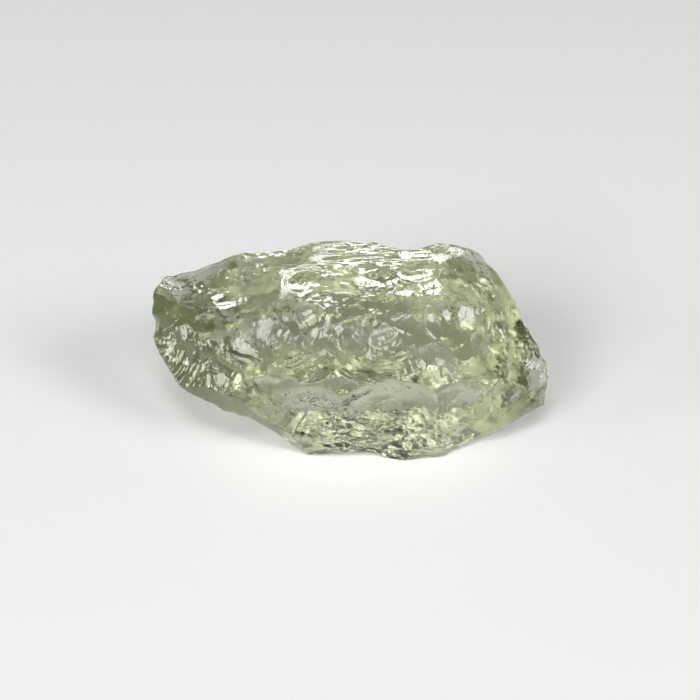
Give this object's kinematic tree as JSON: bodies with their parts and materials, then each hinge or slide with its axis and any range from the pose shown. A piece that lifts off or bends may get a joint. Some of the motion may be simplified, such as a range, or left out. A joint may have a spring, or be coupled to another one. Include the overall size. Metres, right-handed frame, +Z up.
{
  "type": "rough prasiolite stone",
  "caption": "Rough lump of clear pale-green quartz with rippled, shell-shaped fracture faces and sharp ridges, lying on its flat underside.",
  "frame": {"origin": "bottom centre of the lump's box, level with the underside it lies on", "axes": "+X along the lump's length, +Y from its broad front face to its back, +Z up"},
  "size_m": [0.038, 0.0164, 0.015],
  "materials": {
    "quartz": "clear, glossy broken quartz"
  },
  "bodies": {
    "root": {"stone": "quartz"}
  },
  "joints": []
}
